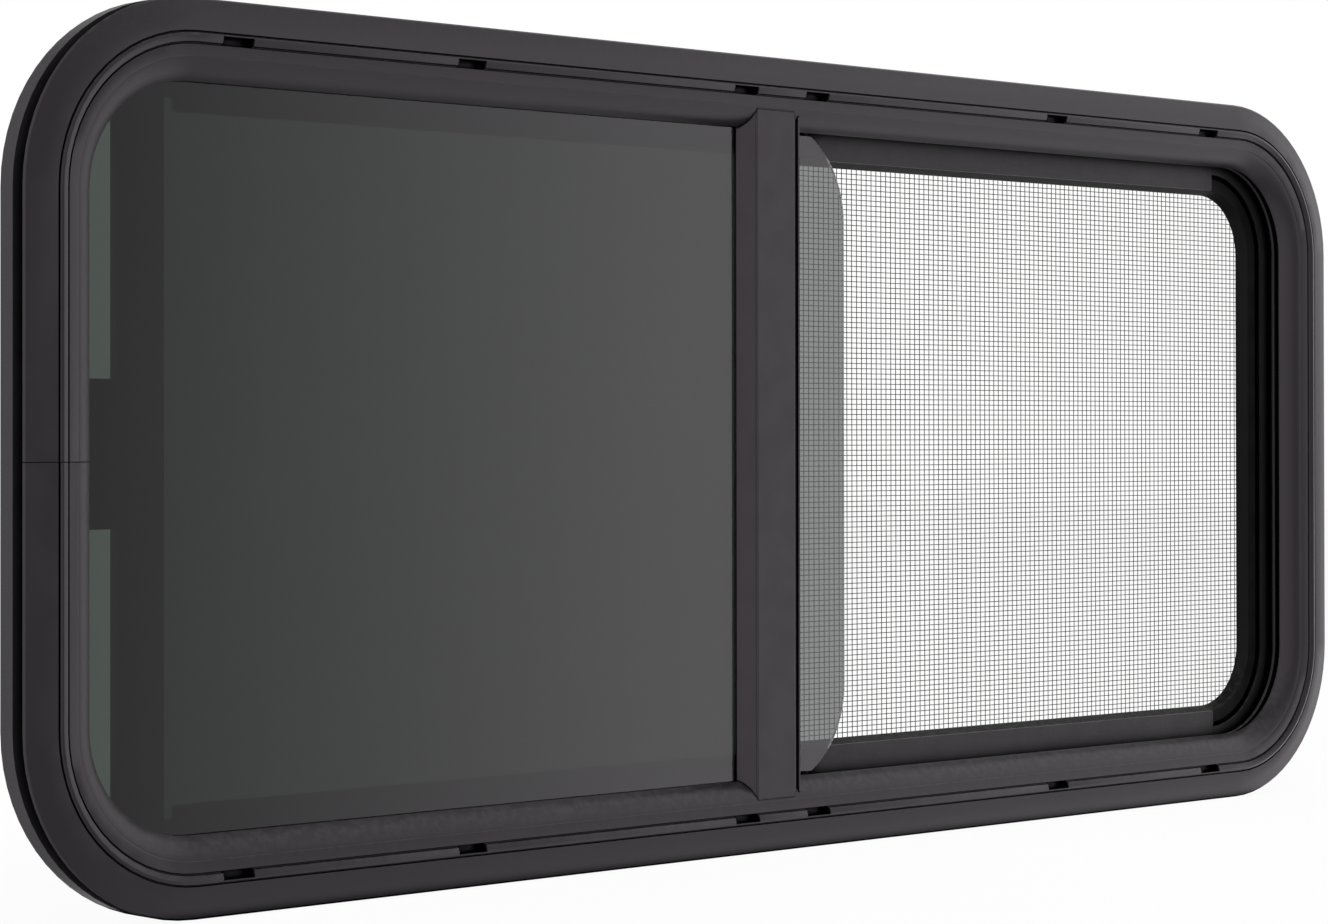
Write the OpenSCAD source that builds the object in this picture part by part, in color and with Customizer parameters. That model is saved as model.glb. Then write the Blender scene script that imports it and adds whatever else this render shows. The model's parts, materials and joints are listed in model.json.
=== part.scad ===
// Horizontal sliding window for a caravan or camper, seen from outside towards +Y.
// X is the width, Z is up, and Y = 0 is the back of the outside flange, against the wall skin.
// A section point is [in, deep]: in is how far it lies inside the flange's outer edge,
// and deep is its Y, so the outside face is negative and the room side positive.

/* [Wall opening] */
// Width of the opening cut in the wall
opening_w = 915; // [820:5:1000]
// Height of the opening cut in the wall
opening_h = 381; // [340:5:440]
// Corner radius of the opening cut in the wall
opening_r = 67; // [64:1:74]
// Thickness of the wall between the flange and the clamp ring
wall_t = 7; // [3:0.5:8]
// How far the outside flange covers the wall round the opening
overlap = 25; // [24:0.5:30]

/* [Outside flange] */
// Thickness of the flange at its outer lip
lip_t = 2.3; // [2.1:0.1:2.8]
// Height of the flange face where it meets the outer groove
flange_crown = 6.1; // [5.8:0.1:6.6]
// Height of the bead with the drain slots
bead_crown = 6.9; // [6.7:0.1:7.4]
// Distance from the outer edge to the outer groove
outer_groove_in = 15.8; // [15.4:0.1:16]
// Distance from the outer edge to the inner groove
inner_groove_in = 21; // [20.8:0.1:21.4]
// Distance from the outer edge to the start of the curved reveal
reveal_in = 28.3; // [28.2:0.1:28.8]
// Height of the flange face where the reveal starts
reveal_crown = 4.1; // [3.9:0.1:4.4]
// Distance from the outer edge to the inner rim of the reveal
rim_in = 38.9; // [38.5:0.1:39.4]
// Depth of the glazing face behind the reveal's rim
rim_deep = 5; // [4.8:0.1:5.3]
// How far the reveal bulges out of its chord
reveal_bulge = 1.4; // [0.8:0.1:1.8]
// Length of a drain slot
slot_l = 17.8; // [12:0.1:24]
// Width of the butt seam where the bent frame closes
seam_w = 0.3; // [0.2:0.1:0.6]
// Height of the butt seam above the window's middle
seam_z = -1.4; // [-20:0.2:20]

/* [Frame body] */
// Room left between the frame body and the edge of the wall opening
body_room = 1; // [0.5:0.1:1.5]
// Wall thickness of the frame body
body_t = 2; // [1.6:0.1:2.2]
// Depth of the frame body behind the flange
body_deep = 31.5; // [31.2:0.1:34]
// Width of the slot that the clamp screws bite into
screw_slot_w = 2.2; // [2.1:0.1:2.6]

/* [Clamp ring] */
// Depth of the clamp ring's outer rim
ring_rim_h = 10.4; // [8:0.1:13]
// Width of the clamp ring's land on the wall
ring_land_w = 7; // [5:0.5:9]
// Wall thickness of the clamp ring
ring_t = 2; // [1.6:0.1:2.4]
// Distance from the flange's edge to the clamp ring's inner edge
ring_inner_in = 44; // [43.4:0.1:44.2]

/* [Glass] */
// Thickness of each pane
glass_t = 3.2; // [2.8:0.1:3.4]
// Thickness of the glazing seal in front of the fixed pane
seal_t = 1; // [0.8:0.1:1.2]
// Distance from the flange's edge to the edge of the fixed pane
fixed_glass_in = 34.5; // [34.2:0.1:35]
// Radius of the sliding pane's leading corners
sash_lead_r = 55; // [45:1:58]
// Radius of the sliding pane's corners inside its stile
sash_tail_r = 20; // [18:1:24]

/* [Mullion] */
// Position of the mullion's left edge, on the fixed pane
mullion_left_x = -33.3; // [-34.5:0.1:-32.5]
// Width of the mullion's sloping left face
mullion_slope_w = 6.5; // [5.5:0.1:7.5]
// Position of the right edge of the mullion's flat face
mullion_flat_x = 1.8; // [1.4:0.1:2.2]

/* [Sliding track] */
// Width of the channel that the sliding pane runs in
track_w = 5.2; // [5:0.1:5.4]
// Thickness of the track's front wall
track_front_t = 1.5; // [1.3:0.1:1.7]
// Thickness of the track's back wall
track_back_t = 3; // [2.6:0.1:3.1]
// Distance from the flange's edge to the edge of the track's back wall
track_back_in = 52.3; // [50:0.1:52.6]

/* [Sliding sash] */
// Position of the sliding pane's leading edge, opened as shown
sash_lead_x = 57; // [40:1:80]
// Distance from the flange's edge to the stile's outer edge, opened as shown
stile_in = 57.5; // [56:0.5:62]
// Width of the stile
stile_w = 26; // [24:0.5:28]
// Depth of the stile
stile_deep = 7.6; // [7:0.1:7.8]
// Height of the latch body
latch_h = 70; // [56:1:90]
// Height of the latch's middle above the window's middle
latch_z = 2; // [-20:1:20]

/* [Screen] */
// Distance from the flange's edge to the screen's mesh opening
mesh_in = 55; // [54.4:0.1:55.4]
// Position of the screen's left edge, behind the mullion
screen_left_x = -10; // [-10.5:0.1:-9]
// Width of the screen's rails
screen_rail_w = 10.5; // [10:0.1:10.8]
// Thickness of the mesh sheet
mesh_t = 0.3; // [0.2:0.05:0.4]

/* [Fits] */
// Clearance of pieces that drop into their seats
seat_gap = 0.2; // [0.1:0.05:0.25]
// Clearance of the nylon guides in the track
guide_gap = 0.2; // [0.1:0.05:0.3]

/* [Hidden] */
$fn = 96;

flange_w = opening_w + 2 * overlap;
flange_h = opening_h + 2 * overlap;
flange_r = opening_r + overlap;
straight_x = flange_w / 2 - flange_r;
straight_z = flange_h / 2 - flange_r;

// The grooves, the bead and the reveal's small step, as widths and depths
groove_w = 1.2;
groove_deep = 1.1;
inner_groove_deep = 1.6;
bead_peak_in = outer_groove_in + 2.6;
lip_chamfer = 0.9;
band_rise = 0.4;
step_w = 0.4;
rim_edge = 0.7;
rim_seat_w = 4.9;
body_front = 1.6;
seal_recess = [4, 15.2];
seal_recess_deep = 1.8;

body_in = overlap + body_room;
pocket_in = body_in + body_t;

slot_shares = [-0.942, -0.579, -0.092, 0.046, 0.556, 0.919];
slot_in = [inner_groove_in + 0.9, inner_groove_in - 3.4];
chamber_l = slot_l + 6;
chamber_in = [body_in + 1.2, seal_recess[1] + 0.5];
chamber_deep = [-3.8, -1.2];

port_w = 5.6;
port_h = 6;
port_floor = 1.8;
screw_in = pocket_in + 1.4 + screw_slot_w / 2;

ring_front = wall_t;
ring_shoulder = wall_t + ring_rim_h;
ring_back = body_deep + ring_t;
ring_flat_in = 24;
ring_bulge = 3.4;
ring_lip_h = 2.2;
ring_edge = 0.8;

fixed_front = rim_deep + seal_t;
fixed_back = fixed_front + glass_t;
track_front = fixed_back + seat_gap;
channel_front = track_front + track_front_t;
channel_back = channel_front + track_w;
track_back = channel_back + track_back_t;
track_in = pocket_in + seat_gap;
channel_floor_in = track_in + 2.3;
track_lip_in = 38;

sash_front = channel_front + (track_w - glass_t) / 2;
sash_back = sash_front + glass_t;
sash_edge_gap = 0.8;
sash_half_h = flange_h / 2 - channel_floor_in - sash_edge_gap;
stile_left_x = stile_in - flange_w / 2;
stile_edge = 4;
sash_tail_x = stile_left_x + stile_edge;
guide_front = channel_front + guide_gap;
guide_back = channel_back - guide_gap;
stile_front_t = 0.9;
stile_front = sash_front - stile_front_t;
stile_back = stile_front + stile_deep;
stile_half_h = flange_h / 2 - track_back_in - 1.2;
stile_chamfer = 1.6;
stile_edge_chamfer = 0.6;
flute_in = 9.1;
flute_w = 2.2;
flute_deep = 0.8;
guide_block_h = 10;
guide_tab_w = 12;
guide_tab_h = 7;
shoe_l = 40;
shoe_inset = [121, 97];
shoe_h = 4.4;

mullion_front = -reveal_crown;
mullion_back = fixed_back + 1;
mullion_t = 1.8;
mullion_lap = 3.4;
seal_inset = 0.3;
mullion_ledge = 0.6;
mullion_step = 0.8;
mullion_lip_w = 1.6;
mullion_groove_w = 1.6;
mullion_groove_deep = 2.4;
mullion_leg_t = 2;
mullion_clip_x = -20;
mullion_pocket_x = -8;
pile_slot = [mullion_flat_x - 1.8, mullion_flat_x + 1.8];
pile_deep = 2.2;
pile_proud = 0.6;

screen_front = track_back + seat_gap;
mesh_front = screen_front + 7.3;
screen_out_in = mesh_in - screen_rail_w;
screen_wall_t = 2.9;
spline_w = 3.6;
spline_deep = 2.4;
screen_land = mesh_in - screen_out_in - screen_wall_t - spline_w;
screen_slope = 2.8;

jamb_back_in = 42.5;
jamb_back_t = 2.1;
bead_left_in = 37;
bead_left_t = 2.2;

key_l = 40;
key_w = 12;
key_t = 1.5;
key_front = channel_front + 1.6;
rivet_r = 1.8;

latch_w = 31;
latch_left_x = stile_left_x - 13;
latch_r = 4;
latch_deep = 5.9;
latch_scoop = 3.5;
scoop_x = [3, 13];
scoop_end = 8;
scoop_r = 3;
latch_screw_in = 8;
latch_screw_end = 9;
latch_screw_sink = 2.2;
latch_screw_room = 0.2;
lever_w = 14;
lever_h = 22;
lever_t = 3;
lever_r = 2;
grip_end = 5;
grip_w = 1.2;
grip_pitch = 3;
grip_deep = 0.8;
lever_x = latch_left_x + latch_w - lever_w + 2;
keeper_w = 5.2;
keeper_h = 12;
keeper_wall = 1.4;
keeper_back = stile_back + latch_deep - 0.4;

screw_head_r = 3.6;
screw_head_h = 2;
screw_shank_r = 1;
screw_reach = 5.4;
screw_hole_r = 1.6;
recess_l = 4;
recess_w = 0.8;
screw_shares = [-0.845, -0.282, 0.282, 0.845];
side_screw_share = 0.243;

// Points of a shallow arc from a to b that stands bulge out of its chord, ends left out
function arc_between(a, b, bulge, steps = 6) =
    let (chord = norm(b - a), mid = (a + b) / 2, side = [b.y - a.y, a.x - b.x] / chord)
    let (r = chord * chord / (8 * bulge) + bulge / 2, centre = mid - side * (r - bulge))
    let (half = asin(chord / 2 / r), lead = atan2(mid.y - centre.y, mid.x - centre.x))
    let (turn = cross(a - centre, b - centre) > 0 ? 1 : -1)
    [for (i = [1 : steps - 1]) centre + r * [
        cos(lead + turn * half * (2 * i / steps - 1)),
        sin(lead + turn * half * (2 * i / steps - 1))
    ]];

function reversed(list) = [for (i = [len(list) - 1 : -1 : 0]) list[i]];

reveal_start = [reveal_in, -reveal_crown];
reveal_end = [rim_in, rim_deep - rim_edge];
reveal_points = concat([reveal_start], arc_between(reveal_start, reveal_end, reveal_bulge), [reveal_end]);

// One section, placed so that its corner centre is the origin and its depth runs to -Z
module section(points) polygon([for (p = points) [flange_r - p.x, -p.y]]);

// A quarter bend of a section, in the corner given by its signs
module bend(points, sx, sz) {
    start = sx > 0 ? (sz > 0 ? 0 : 270) : (sz > 0 ? 90 : 180);
    rotate([90, 0, 0])
        translate([sx * straight_x, sz * straight_z, 0])
            rotate([0, 0, start])
                rotate_extrude(angle = 90)
                    section(points);
}

// A level length of a section along the top (sz = 1) or the bottom (sz = -1)
module level_run(points, x0, x1, sz) {
    depth_flip = sz > 0 ? 0 : 1;
    translate([0, 0, sz * straight_z])
        mirror([0, 0, depth_flip])
            translate([x0, 0, 0])
                rotate([0, 90, 0])
                    linear_extrude(x1 - x0)
                        polygon([for (p = points) [p.x - flange_r, p.y]]);
}

// An upright length of a section along the right (sx = 1) or the left (sx = -1)
module upright_run(points, z0, z1, sx) {
    side_flip = sx > 0 ? 0 : 1;
    mirror([side_flip, 0, 0])
        translate([straight_x, 0, z0])
            linear_extrude(z1 - z0)
                polygon([for (p = points) [flange_r - p.x, p.y]]);
}

// A section bent right round the window
module loop(points) {
    for (s = [-1, 1]) {
        level_run(points, -straight_x, straight_x, s);
        upright_run(points, -straight_z, straight_z, s);
        bend(points, s, 1);
        bend(points, s, -1);
    }
}

// A block between two corners
module block(x, y, z) translate([x[0], y[0], z[0]]) cube([x[1] - x[0], y[1] - y[0], z[1] - z[0]]);

// A round bar along Y
module round_y(x, z, r, y) translate([x, y[0], z]) rotate([-90, 0, 0]) cylinder(r = r, h = y[1] - y[0]);

// A flat sheet with its own corner radius on the left and on the right
module pane(x, half_h, y, left_r, right_r) {
    block([x[0] + left_r, x[1] - right_r], y, [-half_h, half_h]);
    block([x[0], x[0] + left_r], y, [left_r - half_h, half_h - left_r]);
    for (s = [-1, 1])
        round_y(x[0] + left_r, s * (half_h - left_r), left_r, y);
    if (right_r > 0) {
        block([x[1] - right_r, x[1]], y, [right_r - half_h, half_h - right_r]);
        for (s = [-1, 1])
            round_y(x[1] - right_r, s * (half_h - right_r), right_r, y);
    }
}

// A block with round edges along Y
module rounded_block(x, y, z, r) {
    block([x[0] + r, x[1] - r], y, z);
    block(x, y, [z[0] + r, z[1] - r]);
    for (px = [x[0] + r, x[1] - r], pz = [z[0] + r, z[1] - r])
        round_y(px, pz, r, y);
}

// The butt seam of the bent frame, a saw cut through the middle of the left side
module seam_cut() {
    block([-flange_w / 2 - 1, -straight_x], [-bead_crown - 1, body_deep + 1], [seam_z - seam_w / 2, seam_z + seam_w / 2]);
}

// Drain slots through the bead, each opening into a chamber behind the flange face
module drain_slots() {
    for (share = slot_shares, side = [0, 1])
        mirror([0, 0, side])
            translate([share * straight_x, 0, flange_h / 2]) {
                block([-slot_l / 2, slot_l / 2], [-bead_crown - 1, chamber_deep[1]], -slot_in);
                block([-chamber_l / 2, chamber_l / 2], chamber_deep, -chamber_in);
            }
}

module outer_frame() color([0.2, 0.2, 0.21]) {
    bead_start = outer_groove_in + groove_w;
    band_start = inner_groove_in + groove_w;
    points = concat(
        [[0, 0], [0, -lip_t + lip_chamfer], [lip_chamfer, -lip_t]],
        [[outer_groove_in, -flange_crown]],
        [[outer_groove_in + 0.3, -flange_crown + groove_deep], [bead_start - 0.3, -flange_crown + groove_deep]],
        [[bead_start, -bead_crown + 0.4], [bead_peak_in, -bead_crown], [inner_groove_in, -flange_crown]],
        [[inner_groove_in + 0.3, -flange_crown + inner_groove_deep]],
        [[band_start - 0.3, -flange_crown + inner_groove_deep], [band_start, -reveal_crown - 3 * band_rise]],
        [[reveal_in - 2 * step_w, -reveal_crown - band_rise], [reveal_in - step_w, -reveal_crown]],
        reveal_points,
        [[rim_in, rim_deep], [rim_in - rim_seat_w, rim_deep], [rim_in - rim_seat_w, rim_deep - 2.4]],
        [[pocket_in + 1.5, -body_front], [body_in - seat_gap / 2, -body_front], [body_in - seat_gap / 2, 0]],
        [[seal_recess[1], 0], [seal_recess[1], -seal_recess_deep]],
        [[seal_recess[0], -seal_recess_deep], [seal_recess[0], 0]]
    );
    difference() {
        loop(points);
        drain_slots();
        seam_cut();
    }
}

module frame_body() color([0.19, 0.19, 0.2]) {
    slot_in = screw_in - screw_slot_w / 2;
    points = [
        [body_in, -body_front], [pocket_in, -body_front], [pocket_in, body_deep - port_h],
        [pocket_in + port_w, body_deep - port_h],
        [pocket_in + port_w, body_deep], [slot_in + screw_slot_w, body_deep],
        [slot_in + screw_slot_w, body_deep - port_h + port_floor], [slot_in, body_deep - port_h + port_floor],
        [slot_in, body_deep], [body_in, body_deep]
    ];
    difference() {
        loop(points);
        seam_cut();
    }
}

// A riveted plate that bridges the butt seam from inside
module frame_joint_key() color([0.62, 0.62, 0.63]) {
    inner_x = pocket_in - flange_w / 2;
    block([inner_x, inner_x + key_t], [key_front, key_front + key_w], [seam_z - key_l / 2, seam_z + key_l / 2]);
    for (i = [-1.5 : 1.5])
        translate([inner_x + key_t, key_front + key_w / 2, seam_z + i * key_l / 4])
            intersection() {
                sphere(r = rivet_r);
                block([0, rivet_r], [-rivet_r, rivet_r], [-rivet_r, rivet_r]);
            }
}

module flange_seal() color([0.1, 0.1, 0.1]) {
    gap = 0.1;
    loop([
        [seal_recess[0] + gap, -seal_recess_deep], [seal_recess[1] - gap, -seal_recess_deep],
        [seal_recess[1] - gap, 0], [seal_recess[0] + gap, 0]
    ]);
}

// Places its children on the clamp ring at each of the screws
module at_ring_screws() {
    for (s = [-1, 1]) {
        for (share = screw_shares)
            translate([share * straight_x, ring_back, s * (flange_h / 2 - screw_in)])
                children();
        translate([s * (flange_w / 2 - screw_in), ring_back, s * side_screw_share * straight_z])
            children();
    }
}

module clamp_ring() color([0.21, 0.21, 0.22]) {
    shoulder = [0, ring_shoulder];
    flat_edge = [ring_flat_in, ring_back];
    inside_edge = [ring_flat_in + ring_t / 3, ring_back - ring_t];
    inside_shoulder = [ring_t, ring_shoulder - ring_t / 2];
    points = concat(
        [[0, ring_front], [ring_land_w, ring_front], [ring_land_w, ring_front + ring_t]],
        [[ring_t, ring_front + ring_t], inside_shoulder],
        reversed(arc_between(inside_edge, inside_shoulder, ring_bulge)),
        [inside_edge, [ring_inner_in - ring_t, ring_back - ring_t]],
        [[ring_inner_in - ring_t, ring_back - ring_t - ring_lip_h], [ring_inner_in, ring_back - ring_t - ring_lip_h]],
        [[ring_inner_in, ring_back - ring_edge], [ring_inner_in - ring_edge, ring_back], flat_edge],
        arc_between(flat_edge, shoulder, ring_bulge),
        [shoulder]
    );
    difference() {
        loop(points);
        at_ring_screws()
            round_y(0, 0, screw_hole_r, [-ring_t - 1, 1]);
    }
}

// Cross recess of a screw, cut into a head that stands on Y = 0
module cross_recess(from_y) {
    for (size = [[recess_l, recess_w], [recess_w, recess_l]])
        block([-size[0] / 2, size[0] / 2], [from_y, screw_head_h + 1], [-size[1] / 2, size[1] / 2]);
}

// Pan-head screw, its head on Y = 0 and its pointed shank towards -Y
module pan_screw(reach) {
    difference() {
        rotate([-90, 0, 0])
            rotate_extrude()
                polygon([
                    [0, -reach], [screw_shank_r * 0.4, -reach], [screw_shank_r, -reach + screw_shank_r], [screw_shank_r, 0],
                    [screw_head_r, 0], [screw_head_r, screw_head_h * 0.4], [screw_head_r * 0.7, screw_head_h * 0.9],
                    [screw_head_r * 0.4, screw_head_h], [0, screw_head_h]
                ]);
        cross_recess(screw_head_h * 0.45);
    }
}

module clamp_ring_screws() color([0.15, 0.15, 0.16])
    at_ring_screws()
        pan_screw(screw_reach);

module fixed_glass() color([0.2, 0.22, 0.22, 0.6])
    pane([fixed_glass_in - flange_w / 2, mullion_pocket_x - 1], flange_h / 2 - fixed_glass_in,
        [fixed_front, fixed_back], flange_r - fixed_glass_in, 0);

module fixed_glass_seal() color([0.05, 0.05, 0.05]) {
    lip = [fixed_glass_in - seat_gap, rim_in - seal_inset];
    points = [[lip[0], rim_deep], [lip[1], rim_deep], [lip[1], fixed_front], [lip[0], fixed_front]];
    seal_right = mullion_left_x + mullion_lap;
    for (s = [-1, 1]) {
        level_run(points, -straight_x, seal_right, s);
        bend(points, -1, s);
    }
    upright_run(points, -straight_z, straight_z, -1);
    half_h = flange_h / 2 - rim_in + seal_inset;
    block([mullion_left_x + seal_inset, seal_right], [rim_deep, fixed_front], [-half_h, half_h]);
}

// Snap-in bead that holds the fixed pane along the left side
module glazing_bead_left() color([0.08, 0.08, 0.08]) {
    points = [
        [track_in, track_front], [bead_left_in, track_front], [bead_left_in, track_front + 0.9],
        [bead_left_in - 1.4, track_front + bead_left_t], [track_in, track_front + bead_left_t]
    ];
    upright_run(points, -straight_z, straight_z, -1);
}

module mullion() color([0.24, 0.24, 0.25]) {
    slope_top = mullion_left_x + mullion_slope_w;
    flat_left = slope_top + 2 * mullion_ledge;
    flat = mullion_front;
    lip_x = mullion_flat_x + mullion_lip_w;
    leg = [lip_x + mullion_groove_w, lip_x + mullion_groove_w + mullion_leg_t];
    points = [
        [mullion_left_x, rim_deep], [slope_top, flat + mullion_step], [slope_top + mullion_ledge, flat + mullion_step],
        [flat_left, flat], [mullion_flat_x, flat], [mullion_flat_x + mullion_step, flat + mullion_step],
        [lip_x, flat + mullion_step], [lip_x + 0.2, flat + mullion_groove_deep],
        [leg[0] - 0.2, flat + mullion_groove_deep], [leg[0], flat + mullion_step], [leg[1], flat + mullion_step],
        [leg[1], mullion_back], [pile_slot[1], mullion_back], [pile_slot[1], mullion_back - pile_deep],
        [pile_slot[0], mullion_back - pile_deep], [pile_slot[0], mullion_back], [mullion_clip_x, mullion_back],
        [mullion_clip_x, fixed_back + 0.1], [mullion_pocket_x, fixed_back + 0.1], [mullion_pocket_x, flat + mullion_t],
        [flat_left + mullion_ledge, flat + mullion_t], [mullion_left_x + mullion_lap, rim_deep]
    ];
    reach = flange_h / 2 - seat_gap;
    end_curve = [for (p = reveal_points) [reach - p.x, p.y]];
    low_curve = reversed([for (p = end_curve) [-p.x, p.y]]);
    back_z = reach - rim_in;
    outline = concat(
        [[reach - reveal_in, flat - 1]], end_curve, [[back_z, mullion_back + 1], [-back_z, mullion_back + 1]],
        low_curve, [[reveal_in - reach, flat - 1]]
    );
    intersection() {
        translate([0, 0, -flange_h / 2])
            linear_extrude(flange_h)
                polygon(points);
        translate([-flange_w / 8, 0, 0])
            rotate([0, 90, 0])
                linear_extrude(flange_w / 4)
                    polygon([for (p = outline) [-p.x, p.y]]);
    }
}

module mullion_pile() color([0.04, 0.04, 0.04]) {
    half_h = flange_h / 2 - rim_in - seat_gap - 0.5;
    block([pile_slot[0] + 0.1, pile_slot[1] - 0.1], [mullion_back - pile_deep + 0.1, mullion_back + pile_proud], [-half_h, half_h]);
}

// Section of the channel for the sliding pane: front wall, floor and a back wall of its own height
function channel_section(back_in, back_t) = [
    [track_in, track_front], [track_lip_in - 0.5, track_front], [track_lip_in, track_front + 0.5],
    [track_lip_in, channel_front], [channel_floor_in, channel_front], [channel_floor_in, channel_back],
    [back_in, channel_back], [back_in, channel_back + back_t - 0.5], [back_in - 0.5, channel_back + back_t],
    [track_in, channel_back + back_t]
];

module track_strip(sz) {
    level_run(channel_section(track_back_in, track_back_t), -straight_x, straight_x, sz);
}

module track_strip_top() color([0.25, 0.25, 0.26]) track_strip(1);

module track_strip_bottom() color([0.25, 0.25, 0.26]) track_strip(-1);

module jamb_channel_right() color([0.06, 0.06, 0.06]) {
    points = channel_section(jamb_back_in, jamb_back_t);
    upright_run(points, -straight_z, straight_z, 1);
    bend(points, 1, 1);
    bend(points, 1, -1);
}

module jamb_pile_right() color([0.03, 0.03, 0.03]) {
    inset = 0.3;
    upright_run([
        [channel_floor_in, channel_front + inset], [channel_floor_in + 3.4, channel_front + 1.2],
        [channel_floor_in + 3.4, channel_back - 1.2], [channel_floor_in, channel_back - inset]
    ], -straight_z, straight_z, 1);
}

// Screen pieces: round corners on the right, square ones behind the mullion on the left
module screen_run(points, left_x) {
    for (s = [-1, 1]) {
        level_run(points, left_x, straight_x, s);
        bend(points, 1, s);
    }
    upright_run(points, -straight_z, straight_z, 1);
}

module screen_frame() color([0.05, 0.05, 0.05]) {
    wall_in = screen_out_in + screen_wall_t;
    land_in = mesh_in - screen_land;
    points = [
        [screen_out_in, screen_front], [mesh_in - screen_slope, screen_front], [mesh_in, mesh_front - 1.2],
        [mesh_in, mesh_front], [land_in, mesh_front], [land_in, mesh_front - spline_deep],
        [wall_in, mesh_front - spline_deep], [wall_in, body_deep], [screen_out_in, body_deep]
    ];
    upright = [for (p = points) [p.x - screen_out_in + screen_left_x, p.y]];
    left_half_h = flange_h / 2 - screen_out_in;
    screen_run(points, screen_left_x + screen_rail_w);
    difference() {
        translate([0, 0, -left_half_h])
            linear_extrude(2 * left_half_h)
                polygon(upright);
        for (s = [-1, 1])
            mirror([0, 0, s > 0 ? 0 : 1])
                block([screen_left_x + screen_wall_t, screen_left_x + screen_rail_w + 1],
                    [mesh_front - spline_deep, body_deep + 1],
                    [flange_h / 2 - mesh_in + screen_land, flange_h / 2 - wall_in]);
    }
    for (s = [-1, 1])
        mirror([0, 0, s > 0 ? 0 : 1]) {
            block([screen_left_x + screen_slope, screen_left_x + screen_rail_w], [screen_front, mesh_front - spline_deep],
                [flange_h / 2 - mesh_in + screen_slope, flange_h / 2 - screen_out_in]);
            block([screen_left_x + screen_wall_t, screen_left_x + screen_rail_w], [screen_front, body_deep],
                [flange_h / 2 - wall_in, flange_h / 2 - screen_out_in]);
        }
}

module screen_spline() color([0.03, 0.03, 0.03]) {
    gap = 0.1;
    wall_in = screen_out_in + screen_wall_t + gap;
    land_in = wall_in + spline_w - 2 * gap;
    y = [mesh_front - spline_deep, mesh_front + 1];
    x0 = screen_left_x + screen_wall_t + gap;
    x1 = x0 + spline_w - 2 * gap;
    points = [[wall_in, y[0]], [land_in, y[0]], [land_in, y[1] - 0.8], [land_in - 0.8, y[1]], [wall_in, y[1]]];
    screen_run(points, x1);
    block([x0, x1], y, [wall_in - flange_h / 2, flange_h / 2 - wall_in]);
}

module screen_mesh() color([0.3, 0.3, 0.3, 0.5]) {
    edge = mesh_in - screen_land + 0.1;
    left_x = screen_left_x + screen_rail_w - screen_land + 0.1;
    pane([left_x, flange_w / 2 - edge], flange_h / 2 - edge, [mesh_front, mesh_front + mesh_t], 0.5, flange_r - edge);
}

module latch_keeper() color([0.1, 0.1, 0.1])
    difference() {
        block([screen_left_x - keeper_w, screen_left_x], [screen_front + 1, keeper_back],
            [latch_z - keeper_h / 2, latch_z + keeper_h / 2]);
        block([screen_left_x - keeper_w + keeper_wall, screen_left_x - keeper_wall], [screen_front + 1 + keeper_wall, keeper_back + 1],
            [latch_z - keeper_h / 2 + keeper_wall, latch_z + keeper_h / 2 - keeper_wall]);
    }

// The sliding pane as one solid, also used to cut the pieces that grip it
module sash_pane()
    pane([sash_tail_x, sash_lead_x], sash_half_h, [sash_front, sash_back], sash_tail_r, sash_lead_r);

module sliding_glass() color([0.3, 0.34, 0.32, 0.5]) sash_pane();

module slider_stile() color([0.16, 0.16, 0.17]) {
    right = stile_left_x + stile_w;
    flute = right - flute_in;
    points = [
        [stile_left_x + stile_edge_chamfer, stile_front], [right, stile_front], [right, sash_front], [sash_tail_x, sash_front],
        [sash_tail_x, sash_back], [right, sash_back], [right, stile_back - stile_chamfer],
        [right - stile_chamfer, stile_back], [flute + flute_w / 2, stile_back],
        [flute + flute_w / 4, stile_back - flute_deep], [flute - flute_w / 4, stile_back - flute_deep],
        [flute - flute_w / 2, stile_back], [stile_left_x + stile_chamfer, stile_back],
        [stile_left_x, stile_back - stile_chamfer], [stile_left_x, stile_front + stile_edge_chamfer]
    ];
    translate([0, 0, -stile_half_h])
        linear_extrude(2 * stile_half_h)
            polygon(points);
}

// Nylon guide that slides in the track, gripping the pane just beyond the stile's end
module stile_guide(sz) {
    right = stile_left_x + stile_w;
    y = [guide_front, guide_back];
    mirror([0, 0, sz > 0 ? 0 : 1])
        difference() {
            union() {
                block([stile_left_x + 1, right], y, [stile_half_h, stile_half_h + guide_block_h]);
                block([right - guide_tab_w, right], y,
                    [stile_half_h + guide_block_h, stile_half_h + guide_block_h + guide_tab_h]);
            }
            sash_pane();
        }
}

module stile_guide_top() color([0.45, 0.45, 0.46]) stile_guide(1);

module stile_guide_bottom() color([0.45, 0.45, 0.46]) stile_guide(-1);

module glide_shoes() color([0.08, 0.08, 0.08])
    for (x = [sash_tail_x + shoe_inset[0], sash_lead_x - shoe_inset[1]])
        difference() {
            block([x - shoe_l / 2, x + shoe_l / 2], [guide_front, guide_back],
                [-sash_half_h - sash_edge_gap + guide_gap / 2, shoe_h - sash_half_h]);
            sash_pane();
        }

// Places its children at the two latch screws, on the latch's back face
module at_latch_screws() {
    for (s = [-1, 1])
        translate([latch_left_x + latch_w - latch_screw_in, stile_back + latch_deep,
            latch_z + s * (latch_h / 2 - latch_screw_end)])
            children();
}

module latch_body() color([0.09, 0.09, 0.1]) {
    x = [latch_left_x, latch_left_x + latch_w];
    y = [stile_back, stile_back + latch_deep];
    z = [latch_z - latch_h / 2, latch_z + latch_h / 2];
    difference() {
        rounded_block(x, y, z, latch_r);
        rounded_block([x[0] + scoop_x[0], x[0] + scoop_x[1]], [y[1] - latch_scoop, y[1] + 1],
            [z[0] + scoop_end, z[1] - scoop_end], scoop_r);
        at_latch_screws()
            round_y(0, 0, screw_head_r + latch_screw_room, [-latch_screw_sink, 1]);
    }
}

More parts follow.
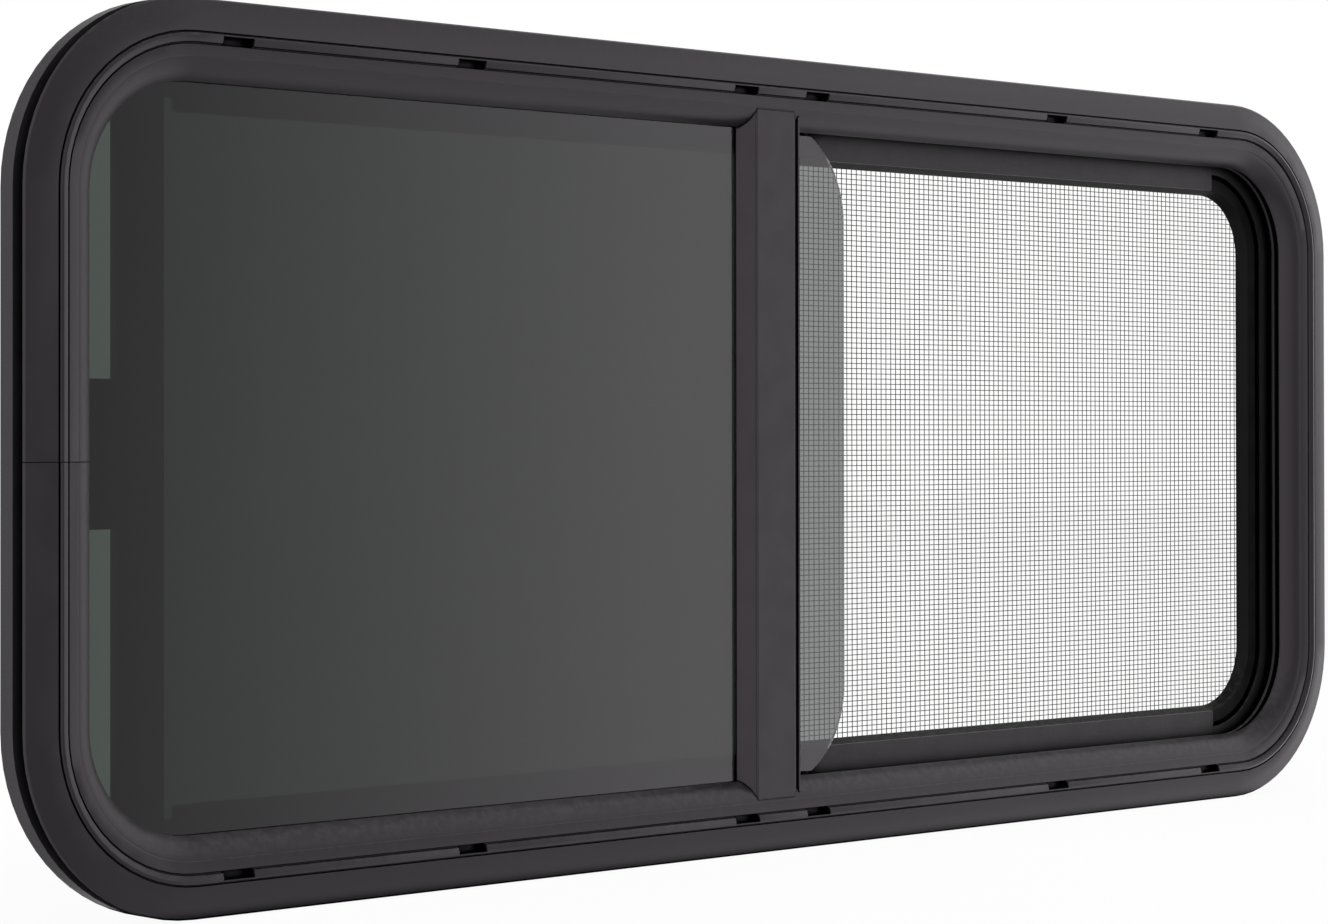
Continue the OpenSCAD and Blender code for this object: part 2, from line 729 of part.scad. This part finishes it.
// Thumb lever with grip ridges
module latch_lever() color([0.13, 0.13, 0.14]) {
    y = [stile_back + latch_deep, stile_back + latch_deep + lever_t];
    difference() {
        rounded_block([lever_x, lever_x + lever_w], y, [latch_z - lever_h / 2, latch_z + lever_h / 2], lever_r);
        for (i = [-2 : 2])
            block([lever_x + lever_r, lever_x + lever_w - grip_end], [y[1] - grip_deep, y[1] + 1],
                [latch_z + i * grip_pitch - grip_w / 2, latch_z + i * grip_pitch + grip_w / 2]);
    }
}

module latch_screws() color([0.5, 0.5, 0.5])
    at_latch_screws()
        translate([0, -latch_screw_sink, 0])
            rotate([0, 45, 0])
                difference() {
                    round_y(0, 0, screw_head_r, [0, screw_head_h]);
                    cross_recess(screw_head_h / 2);
                }

outer_frame();
frame_body();
frame_joint_key();
flange_seal();
clamp_ring();
clamp_ring_screws();
fixed_glass();
fixed_glass_seal();
glazing_bead_left();
mullion();
mullion_pile();
track_strip_top();
track_strip_bottom();
jamb_channel_right();
jamb_pile_right();
screen_frame();
screen_spline();
screen_mesh();
latch_keeper();
sliding_glass();
slider_stile();
stile_guide_top();
stile_guide_bottom();
glide_shoes();
latch_body();
latch_lever();
latch_screws();
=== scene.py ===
import json
import math

import bmesh
import bpy
from mathutils import Matrix, Vector


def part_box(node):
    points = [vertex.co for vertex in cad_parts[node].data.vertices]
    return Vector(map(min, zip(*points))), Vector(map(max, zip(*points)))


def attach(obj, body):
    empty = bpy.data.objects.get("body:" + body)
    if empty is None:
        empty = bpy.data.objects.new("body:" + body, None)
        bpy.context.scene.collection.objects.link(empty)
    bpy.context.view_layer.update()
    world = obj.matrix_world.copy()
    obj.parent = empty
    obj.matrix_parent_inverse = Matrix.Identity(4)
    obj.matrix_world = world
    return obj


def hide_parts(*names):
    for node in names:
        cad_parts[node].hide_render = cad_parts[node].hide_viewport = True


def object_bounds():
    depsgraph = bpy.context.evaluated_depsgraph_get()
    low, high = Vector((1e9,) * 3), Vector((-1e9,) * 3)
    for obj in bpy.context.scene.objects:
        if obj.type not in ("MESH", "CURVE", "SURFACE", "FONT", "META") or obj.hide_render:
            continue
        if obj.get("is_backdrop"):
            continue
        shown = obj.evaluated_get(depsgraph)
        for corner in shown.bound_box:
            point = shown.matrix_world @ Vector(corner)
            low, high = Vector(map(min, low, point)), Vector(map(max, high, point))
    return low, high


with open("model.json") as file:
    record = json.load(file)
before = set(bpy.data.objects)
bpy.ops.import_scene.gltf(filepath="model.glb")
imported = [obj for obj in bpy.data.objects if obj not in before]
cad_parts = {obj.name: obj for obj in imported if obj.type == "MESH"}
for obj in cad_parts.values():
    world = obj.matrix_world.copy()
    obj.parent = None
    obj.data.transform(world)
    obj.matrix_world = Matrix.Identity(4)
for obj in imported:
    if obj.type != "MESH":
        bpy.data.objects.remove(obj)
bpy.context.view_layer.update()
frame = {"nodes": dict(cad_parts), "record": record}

scene = bpy.context.scene
print("frame loaded:", len(frame["nodes"]), "nodes")


# Helpers for node trees, meshes and objects

def feed(tree, node, values):
    # a number or a colour is written into the socket, another node's output is linked to it
    for label, value in values.items():
        if isinstance(value, tuple):
            node.inputs[label].default_value = (*value, 1)
        elif isinstance(value, (int, float)):
            node.inputs[label].default_value = value
        else:
            tree.links.new(value, node.inputs[label])


def noiseNode(tree, scale, detail):
    coords = tree.nodes.new("ShaderNodeTexCoord")
    noise = tree.nodes.new("ShaderNodeTexNoise")
    feed(tree, noise, {"Vector": coords.outputs["Object"], "Scale": scale, "Detail": detail})
    return noise.outputs["Fac"]


def mathNode(tree, operation, first, second, clamp=False):
    node = tree.nodes.new("ShaderNodeMath")
    node.operation = operation
    node.use_clamp = clamp
    feed(tree, node, {0: first, 1: second})
    return node.outputs["Value"]


def rangeNode(tree, value, fromRange, toRange=(0, 1)):
    node = tree.nodes.new("ShaderNodeMapRange")
    feed(tree, node, {"Value": value, "From Min": fromRange[0], "From Max": fromRange[1],
                      "To Min": toRange[0], "To Max": toRange[1]})
    return node.outputs["Result"]


def mixColor(tree, mask, first, second):
    # a mix node has sockets for numbers, vectors and colours, so the colour ones are looked up by kind
    node = tree.nodes.new("ShaderNodeMix")
    node.data_type = "RGBA"
    colorInputs = [place for place, socket in enumerate(node.inputs) if socket.type == "RGBA"]
    feed(tree, node, {"Factor": mask, colorInputs[0]: first, colorInputs[1]: second})
    return [socket for socket in node.outputs if socket.type == "RGBA"][0]


def newMaterial(name):
    material = bpy.data.materials.new(name)
    material.use_nodes = True
    return material, material.node_tree, material.node_tree.nodes["Principled BSDF"]


def meshFrom(bm, name):
    mesh = bpy.data.meshes.new(name)
    bm.to_mesh(mesh)
    bm.free()
    return mesh


def addObject(name, content):
    made = bpy.data.objects.new(name, content)
    scene.collection.objects.link(made)
    return made


# Shared shader effects. Each group only puts out masks, values and heights.

def newGroup(name, inputs, outputs):
    group = bpy.data.node_groups.new(name, "ShaderNodeTree")
    for side, labels in (("INPUT", inputs), ("OUTPUT", outputs)):
        for label in labels:
            group.interface.new_socket(label, in_out=side, socket_type="NodeSocketFloat")
    return group, group.nodes.new("NodeGroupInput").outputs, group.nodes.new("NodeGroupOutput")


def maskByAmount(group, inputs, output, first, second):
    both = mathNode(group, "MULTIPLY", first, second)
    feed(group, output, {"Mask": mathNode(group, "MULTIPLY", both, inputs["Amount"])})


grainEffect = dict(fineDetail=3, cloudDetail=5, cloudRange=(0.35, 0.65))


def buildGrain(look):
    # fine stipple of a sprayed or moulded skin, with slow clouds of tone
    group, inputs, output = newGroup("surfaceGrain", ["Fine Scale", "Cloud Scale"], ["Height", "Cloud"])
    fine = noiseNode(group, inputs["Fine Scale"], look["fineDetail"])
    cloud = noiseNode(group, inputs["Cloud Scale"], look["cloudDetail"])
    feed(group, output, {"Height": fine, "Cloud": rangeNode(group, cloud, look["cloudRange"])})
    return group


dustEffect = dict(facingRange=(0.1, 1.0), speckScale=260, speckDetail=6, speckRange=(0.42, 0.62))


def buildDust(look):
    # thin dust that settles on what faces up, broken by specks
    group, inputs, output = newGroup("dustFilm", ["Amount"], ["Mask"])
    geometry = group.nodes.new("ShaderNodeNewGeometry")
    split = group.nodes.new("ShaderNodeSeparateXYZ")
    feed(group, split, {"Vector": geometry.outputs["Normal"]})
    facing = rangeNode(group, split.outputs["Z"], look["facingRange"])
    specks = noiseNode(group, look["speckScale"], look["speckDetail"])
    maskByAmount(group, inputs, output, facing, rangeNode(group, specks, look["speckRange"]))
    return group


paintedHighlightEffect = dict(edgeRange=(0.52, 0.6), patchScale=60, patchDetail=4, patchRange=(0.38, 0.6))


def buildPaintedHighlight(look):
    # painted highlight: lighter colour along outward edges, where highlights catch, broken into patches
    group, inputs, output = newGroup("paintedEdgeHighlight", ["Amount"], ["Mask"])
    geometry = group.nodes.new("ShaderNodeNewGeometry")
    edge = rangeNode(group, geometry.outputs["Pointiness"], look["edgeRange"])
    patch = noiseNode(group, look["patchScale"], look["patchDetail"])
    maskByAmount(group, inputs, output, edge, rangeNode(group, patch, look["patchRange"]))
    return group


paintedShadeEffect = dict(samples=8, openRange=(0.44, 0.62))


def buildPaintedShade(look):
    # painted shade: how deep a point lies in a slot, groove or gap, where light and polish don't reach;
    # where it is deep, the finish paints the colour dark and takes the gloss away
    group, inputs, output = newGroup("paintedRecessShade", ["Reach"], ["Mask"])
    shade = group.nodes.new("ShaderNodeAmbientOcclusion")
    shade.samples = look["samples"]
    feed(group, shade, {"Distance": inputs["Reach"]})
    feed(group, output, {"Mask": rangeNode(group, shade.outputs["AO"], look["openRange"], (1, 0))})
    return group


grain = buildGrain(grainEffect)
dust = buildDust(dustEffect)
paintedHighlight = buildPaintedHighlight(paintedHighlightEffect)
paintedShadeGroup = buildPaintedShade(paintedShadeEffect)


def placeGroup(tree, group, values):
    node = tree.nodes.new("ShaderNodeGroup")
    node.node_tree = group
    feed(tree, node, values)
    return node.outputs


def solidFinish(name, look):
    # one build for paint, plastic, rubber, nylon, brush pile and metal
    material, tree, shader = newMaterial(name)
    skin = placeGroup(tree, grain, {"Fine Scale": look["grainScale"], "Cloud Scale": look["cloudScale"]})
    film = placeGroup(tree, dust, {"Amount": look["dust"]})
    paintedHighlightMask = placeGroup(tree, paintedHighlight, {"Amount": look["paintedHighlight"]})
    paintedShade = placeGroup(tree, paintedShadeGroup, {"Reach": look["paintedShadeReach"]})
    tone = mixColor(tree, skin["Cloud"], look["color"], look["cloudColor"])
    # painted highlight: outward edges get a lighter colour
    highlightedTone = mixColor(tree, paintedHighlightMask["Mask"], tone, look["paintedHighlightColor"])
    dusty = mixColor(tree, film["Mask"], highlightedTone, look["dustColor"])
    gritty = rangeNode(tree, skin["Height"], look["gritRange"], look["roughness"])
    matted = mathNode(tree, "MULTIPLY", film["Mask"], look["dustRough"])
    bump = tree.nodes.new("ShaderNodeBump")
    feed(tree, bump, {"Strength": look["bump"], "Distance": look["bumpDepth"], "Height": skin["Height"]})
    feed(tree, shader, {
        # painted shade: the colour goes dark in slots, grooves and gaps
        "Base Color": mixColor(tree, paintedShade["Mask"], dusty, look["paintedShadeColor"]),
        "Roughness": mathNode(tree, "ADD", gritty, matted, clamp=True),
        "Normal": bump.outputs["Normal"],
        "Metallic": look["metallic"],
        "Specular Tint": look["glossTint"],
        # painted shade: the gloss is taken away in the same slots, grooves and gaps
        "Specular IOR Level": rangeNode(tree, paintedShade["Mask"], (0, 1), (look["specular"], 0)),
    })
    return material


def glassFinish(name, look):
    material, tree, shader = newMaterial(name)
    skin = placeGroup(tree, grain, {"Fine Scale": look["smudgeScale"], "Cloud Scale": look["cloudScale"]})
    film = placeGroup(tree, dust, {"Amount": look["dust"]})
    tint = mixColor(tree, skin["Cloud"], look["tint"], look["tintDeep"])
    feed(tree, shader, {
        "Base Color": mixColor(tree, film["Mask"], tint, look["dustColor"]),
        "Roughness": rangeNode(tree, skin["Height"], look["smudgeRange"], (0, look["smudge"])),
        "Transmission Weight": 1,
        "IOR": look["ior"],
        "Specular Tint": look["glossTint"],
    })
    return material


paintLook = dict(color=(0.0102, 0.009, 0.0104), cloudColor=(0.0126, 0.0112, 0.0128),
                 # the edge colour is a painted highlight along outward edges
                 paintedHighlightColor=(0.05, 0.048, 0.052), dustColor=(0.32, 0.31, 0.29),
                 # the recess colour is painted shade in slots, grooves and gaps
                 paintedShadeColor=(0.001, 0.0008, 0.001), grainScale=1300, cloudScale=5, dust=0.06,
                 dustRough=0.3, paintedHighlight=0.25, roughness=(0.3, 0.42), gritRange=(0.3, 0.7), bump=0.14,
                 bumpDepth=0.0002, metallic=0, specular=0.34, glossTint=(1, 0.88, 1), paintedShadeReach=0.012)
ringLook = dict(paintLook, color=(0.0122, 0.0108, 0.0125), cloudColor=(0.0147, 0.0131, 0.015),
                roughness=(0.38, 0.5), specular=0.22)
screenLook = dict(paintLook, color=(0.005, 0.005, 0.0052), cloudColor=(0.007, 0.007, 0.007),
                  roughness=(0.4, 0.52), specular=0.07)
plasticLook = dict(paintLook, color=(0.01, 0.01, 0.0102), cloudColor=(0.014, 0.014, 0.014),
                   paintedHighlightColor=(0.03, 0.03, 0.03), grainScale=700, dust=0.1, roughness=(0.42, 0.56),
                   bump=0.25, specular=0.3)
nylonLook = dict(plasticLook, color=(0.16, 0.16, 0.165), cloudColor=(0.2, 0.2, 0.2),
                 paintedHighlightColor=(0.3, 0.3, 0.3))
rubberLook = dict(plasticLook, color=(0.006, 0.006, 0.006), cloudColor=(0.009, 0.009, 0.009),
                  grainScale=500, dust=0.14, roughness=(0.62, 0.8), bump=0.35)
pileLook = dict(rubberLook, color=(0.004, 0.004, 0.004), cloudColor=(0.007, 0.007, 0.007),
                grainScale=2600, roughness=(0.85, 1.0), bump=0.9, bumpDepth=0.0006)
aluminiumLook = dict(paintLook, color=(0.55, 0.55, 0.56), cloudColor=(0.48, 0.48, 0.49),
                     paintedHighlightColor=(0.75, 0.75, 0.76), grainScale=1600, roughness=(0.28, 0.45), metallic=1)
screwLook = dict(aluminiumLook, color=(0.09, 0.09, 0.095), cloudColor=(0.07, 0.07, 0.073),
                 paintedHighlightColor=(0.3, 0.3, 0.3), paintedHighlight=0.5)
meshLook = dict(plasticLook, color=(0.03, 0.03, 0.031), cloudColor=(0.042, 0.041, 0.042),
                grainScale=3000, dust=0.15)
fixedLook = dict(tint=(0.052, 0.068, 0.058), tintDeep=(0.046, 0.06, 0.051), dustColor=(0.3, 0.3, 0.28),
                 smudgeScale=40, cloudScale=2.5, smudge=0.02, smudgeRange=(0.45, 0.8), dust=0.03, ior=1.5,
                 glossTint=(1, 0.95, 1))
slidingLook = dict(fixedLook, tint=(0.186, 0.194, 0.19), tintDeep=(0.177, 0.185, 0.181))

finishes = {
    "frame_paint": solidFinish("charcoalFramePaint", paintLook),
    "ring_paint": solidFinish("charcoalRingPaint", ringLook),
    "screen_paint": solidFinish("blackScreenPaint", screenLook),
    "bare_aluminium": solidFinish("millAluminium", aluminiumLook),
    "seal_rubber": solidFinish("sealRubber", rubberLook),
    "black_plastic": solidFinish("blackPlastic", plasticLook),
    "grey_nylon": solidFinish("greyNylon", nylonLook),
    "pile_fabric": solidFinish("brushPile", pileLook),
    "mesh_fibre": solidFinish("meshFibre", meshLook),
    "screw_steel": solidFinish("blackenedScrew", screwLook),
    "tinted_glass": glassFinish("fixedPaneGlass", fixedLook),
}
slidingGlass = glassFinish("slidingPaneGlass", slidingLook)
print("finishes made:", len(finishes) + 1)


# The CAD pieces, merged, smoothed and given small worn-in edges

slotOf = {part["node"]: part["material_slot"] for part in frame["record"]["subparts"]}
bodyOf = {node: body for body, nodes in frame["record"]["behaviour"]["bodies"].items() for node in nodes}


def addToScene(name, mesh, node):
    piece = addObject(name, mesh)
    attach(piece, bodyOf[node])
    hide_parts(node)
    return piece


mullionJoint = dict(endGap=0.0005, legFrom=0.0047, legTo=0.0053, grooveWiden=0.0008)


def fineShapeMullion(bm, look):
    # a hairline joint at both ends, and the groove beside the leg as wide as it shows from in front
    for vert in bm.verts:
        vert.co.z -= math.copysign(look["endGap"], vert.co.z)
        if look["legFrom"] < vert.co.x < look["legTo"]:
            vert.co.x += look["grooveWiden"]


lipUndercut = dict(cornerR=0.092, width=0.0012, slack=0.0001)


def edgeDistance(point, halfW, halfH, cornerR):
    # distance of a point from a rounded rectangle's outline, measured inwards
    overX = abs(point.x) - (halfW - cornerR)
    overZ = abs(point.z) - (halfH - cornerR)
    if overX > 0 and overZ > 0:
        return cornerR - math.hypot(overX, overZ)
    return min(halfW - abs(point.x), halfH - abs(point.z))


def fineShapeFlange(bm, look):
    # the rim's back edge stands in a little, so the gap to the inside ring stays dark
    halfW = max(vert.co.x for vert in bm.verts)
    halfH = max(vert.co.z for vert in bm.verts)
    for vert in bm.verts:
        onBack = abs(vert.co.y) < look["slack"]
        if onBack and edgeDistance(vert.co, halfW, halfH, look["cornerR"]) < look["slack"]:
            vert.co.x *= 1 - look["width"] / halfW
            vert.co.z *= 1 - look["width"] / halfH


edgeSizes = dict(outer_frame=0.00018, mullion=0.0002, clamp_ring=0.0003, frame_body=0.0002,
                 screen_frame=0.0002, fixed_glass=0.0004, sliding_glass=0.0004, slider_stile=0.00025,
                 latch_body=0.0005, latch_lever=0.0003, track_strip_top=0.0002, track_strip_bottom=0.0002)
meshCare = dict(mergeWithin=0.00001, flatAngle=math.radians(0.3), sharpAngle=math.radians(28), edgeSteps=2)


def finishNode(node, look):
    mesh = frame["nodes"][node].data.copy()
    bm = bmesh.new()
    bm.from_mesh(mesh)
    bmesh.ops.remove_doubles(bm, verts=bm.verts, dist=look["mergeWithin"])
    if node == "mullion":
        fineShapeMullion(bm, mullionJoint)
    if node == "outer_frame":
        fineShapeFlange(bm, lipUndercut)
    bmesh.ops.dissolve_limit(bm, angle_limit=look["flatAngle"], verts=bm.verts, edges=bm.edges)
    bm.to_mesh(mesh)
    bm.free()
    mesh.materials.clear()
    mesh.materials.append(slidingGlass if node == "sliding_glass" else finishes[slotOf[node]])
    mesh.shade_smooth()
    mesh.set_sharp_from_angle(angle=look["sharpAngle"])
    piece = addToScene(node + "_finish", mesh, node)
    if node in edgeSizes:
        bevel = piece.modifiers.new("softEdge", "BEVEL")
        bevel.width = edgeSizes[node]
        bevel.segments = look["edgeSteps"]
        bevel.limit_method = "ANGLE"
        bevel.angle_limit = look["sharpAngle"]
        bevel.harden_normals = True


for node in frame["nodes"]:
    if node != "screen_mesh":
        finishNode(node, meshCare)
print("CAD pieces finished")


def addStrand(bm, start, end, radius, sides):
    middle = (start + end) / 2
    turn = Vector((0, 0, 1)).rotation_difference(end - start).to_matrix().to_4x4()
    bmesh.ops.create_cone(bm, cap_ends=True, segments=sides, radius1=radius, radius2=radius,
                          depth=(end - start).length, matrix=Matrix.Translation(middle) @ turn)


# Sealant and painted shadow: a thin black bead where the mullion's coped ends lie on the reveal, standing
# for sealant and for the shade in that joint

sealantAndShadowLine = dict(thick=0.0007, sides=6, frontSide=0.05, lowestEnd=0.1, slack=0.0002)


def isEndLine(edge, look):
    # true near the mullion's top or bottom, on the rim of exactly one face that is seen from in front
    first, second = [vert.co for vert in edge.verts]
    atEnd = min(abs(first.z), abs(second.z)) > look["lowestEnd"] and first.z * second.z > 0
    upright = [face for face in edge.link_faces if abs(face.normal.z) < look["frontSide"]]
    fronts = [face for face in upright if face.normal.y < -look["frontSide"]]
    return atEnd and len(fronts) == 1 and abs(first.x - second.x) > look["slack"]


def buildSealantAndShadow(look):
    bm = bmesh.new()
    source = bmesh.new()
    source.from_mesh(bpy.data.objects["mullion_finish"].data)
    source.normal_update()
    lines = [edge for edge in source.edges if isEndLine(edge, look)]
    for edge in lines:
        addStrand(bm, edge.verts[0].co, edge.verts[1].co, look["thick"] / 2, look["sides"])
    source.free()
    mesh = meshFrom(bm, "mullion_sealant_and_shadow")
    mesh.materials.append(finishes["seal_rubber"])
    piece = addObject("mullion_sealant_and_shadow", mesh)
    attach(piece, bodyOf["mullion"])
    print("sealant lines:", len(lines))


buildSealantAndShadow(sealantAndShadowLine)


# Insect screen: strands both ways, cut to the round corners under the spline

# layerStep: how far the level strands lie behind the upright ones, as a share of a strand
screenCloth = dict(pitchX=0.0040, pitchZ=0.0029, strand=0.0005, sides=6, roundR=0.0409, squareR=0.0005,
                   layerStep=0.8, sharpAngle=math.radians(70))


def clothReach(distance, halfSize, halfOther, radius):
    # how far a strand reaches either side of the middle, at this distance from it
    over = distance - (halfSize - radius)
    return halfOther if over <= 0 else halfOther - radius + math.sqrt(max(radius ** 2 - over ** 2, 0))


def buildScreen(look):
    low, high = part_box("screen_mesh")
    low, high = Vector(low), Vector(high)
    radius = look["strand"] / 2
    halfH = (high.z - low.z) / 2
    bm = bmesh.new()
    columns = int((high.x - low.x - look["strand"]) / look["pitchX"])
    firstX = (low.x + high.x - columns * look["pitchX"]) / 2
    middleX = (low.x + high.x) / 2
    for i in range(columns + 1):
        x = firstX + i * look["pitchX"]
        cornerR = look["roundR"] if x > middleX else look["squareR"]
        reach = clothReach(abs(x - middleX), (high.x - low.x) / 2, halfH, cornerR)
        addStrand(bm, Vector((x, low.y, -reach)), Vector((x, low.y, reach)), radius, look["sides"])
    rows = int((high.z - low.z - look["strand"]) / look["pitchZ"])
    y = low.y + look["strand"] * look["layerStep"]
    for i in range(rows + 1):
        z = (i - rows / 2) * look["pitchZ"]
        right = clothReach(abs(z), halfH, high.x - middleX, look["roundR"])
        addStrand(bm, Vector((low.x, y, z)), Vector((middleX + right, y, z)), radius, look["sides"])
    mesh = meshFrom(bm, "screen_cloth")
    mesh.materials.append(finishes["mesh_fibre"])
    mesh.shade_smooth()
    mesh.set_sharp_from_angle(angle=look["sharpAngle"])
    addToScene("screen_cloth", mesh, "screen_mesh")


buildScreen(screenCloth)
print("insect screen woven")


# Studio: floor, world, lamps and camera

def whiteForBackground(tree, plainShader, share, outputName):
    # rays from the camera (by that share) or through glass see white, all others the plain shader
    path = tree.nodes.new("ShaderNodeLightPath")
    direct = mathNode(tree, "MULTIPLY", path.outputs["Is Camera Ray"], share)
    seen = mathNode(tree, "MAXIMUM", direct, path.outputs["Is Transmission Ray"])
    glow = tree.nodes.new("ShaderNodeEmission")
    glow.inputs["Strength"].default_value = 1
    mix = tree.nodes.new("ShaderNodeMixShader")
    feed(tree, mix, {"Fac": seen, 1: plainShader.outputs[0], 2: glow.outputs["Emission"]})
    feed(tree, tree.nodes[outputName], {"Surface": mix.outputs["Shader"]})


floorLook = dict(size=14, gap=0.0004, color=(0.9, 0.9, 0.9), roughness=0.9, whiteShare=0.94)


def buildFloor(look):
    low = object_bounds()[0]
    bm = bmesh.new()
    bmesh.ops.create_grid(bm, x_segments=1, y_segments=1, size=look["size"] / 2,
                          matrix=Matrix.Translation((0, 0, low[2] - look["gap"])))
    mesh = meshFrom(bm, "studio_floor")
    material, tree, shader = newMaterial("paleFloor")
    feed(tree, shader, {"Base Color": look["color"], "Roughness": look["roughness"]})
    whiteForBackground(tree, shader, look["whiteShare"], "Material Output")
    mesh.materials.append(material)
    floor = addObject("studio_floor", mesh)
    floor.visible_glossy = False
    floor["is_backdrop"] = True


# glossStops: how bright gloss sees the room, from far left (-1) over the middle (0) to far right (1)
worldLook = dict(color=(0.42, 0.42, 0.43), whiteShare=1,
                 glossStops=[(-1.0, 1.6), (-0.8, 1.55), (-0.7, 1.35), (-0.35, 1.1), (-0.1, 0.6), (0.1, 0.4),
                             (0.2, 0.4), (0.32, 1.2), (0.42, 1.0), (0.5, 0.3), (0.675, 1.7), (1.0, 1.6)])


def buildWorld(look):
    scene.world = bpy.data.worlds.new("paleRoom")
    scene.world.use_nodes = True
    tree = scene.world.node_tree
    coords = tree.nodes.new("ShaderNodeTexCoord")
    split = tree.nodes.new("ShaderNodeSeparateXYZ")
    feed(tree, split, {"Vector": coords.outputs["Generated"]})
    ramp = tree.nodes.new("ShaderNodeValToRGB")
    feed(tree, ramp, {"Fac": rangeNode(tree, split.outputs["X"], (-1, 1))})
    stops = ramp.color_ramp.elements
    for side, level in look["glossStops"][1:-1]:
        stops.new((side + 1) / 2)
    for stop, (side, level) in zip(stops, look["glossStops"]):
        stop.color = (level, level, level, 1)
    path = tree.nodes.new("ShaderNodeLightPath")
    shown = mixColor(tree, path.outputs["Is Glossy Ray"], look["color"], ramp.outputs["Color"])
    feed(tree, tree.nodes["Background"], {"Color": shown})
    whiteForBackground(tree, tree.nodes["Background"], look["whiteShare"], "World Output")


lamps = [
    dict(name="right_panel", place=(2.5, -1.7, 0.35), size=(1.5, 1.8), power=42),
    dict(name="top_panel", place=(-0.3, -1.0, 2.2), size=(2.2, 1.4), power=28),
    dict(name="left_panel", place=(-2.6, -0.6, 0.6), size=(1.2, 1.6), power=18),
    dict(name="rear_panel", place=(0.4, 2.6, 1.2), size=(2.4, 1.2), power=20),
]


def addLamp(look):
    light = bpy.data.lights.new(look["name"], "AREA")
    light.shape = "RECTANGLE"
    light.size, light.size_y = look["size"]
    light.energy = look["power"]
    lamp = addObject(look["name"], light)
    lamp.visible_glossy = False
    lamp.visible_transmission = False
    lamp.location = look["place"]
    lamp.rotation_euler = (-Vector(look["place"])).to_track_quat("-Z", "Y").to_euler()


view = dict(place=(-1.29265, -1.31093, 0.01156), yaw=42.4934, pitch=-0.4445, roll=0.0754, focal=91.425,
            sensor=36, shiftX=0.0009, shiftY=-0.04174, nearest=0.05)


def addCamera(look):
    # each row of the turn is a camera axis, as right, up and towards the viewer: X, Z and -Y here
    turn = Matrix.Identity(3)
    for angle, axis in (("roll", "Z"), ("pitch", "X"), ("yaw", "Y")):
        turn = turn @ Matrix.Rotation(math.radians(look[angle]), 3, axis)
    axes = [Vector((row[0], -row[2], row[1])) for row in turn]
    camera = addObject("photo_camera", bpy.data.cameras.new("photo_camera"))
    camera.matrix_world = Matrix.Translation(look["place"]) @ Matrix(axes).transposed().to_4x4()
    camera.data.sensor_fit = "HORIZONTAL"
    camera.data.sensor_width = look["sensor"]
    camera.data.lens = look["focal"]
    camera.data.shift_x = look["shiftX"]
    camera.data.shift_y = look["shiftY"]
    camera.data.clip_start = look["nearest"]
    scene.camera = camera


buildFloor(floorLook)
buildWorld(worldLook)
for lampLook in lamps:
    addLamp(lampLook)
addCamera(view)
scene.view_settings.view_transform = "Standard"
print("studio ready")
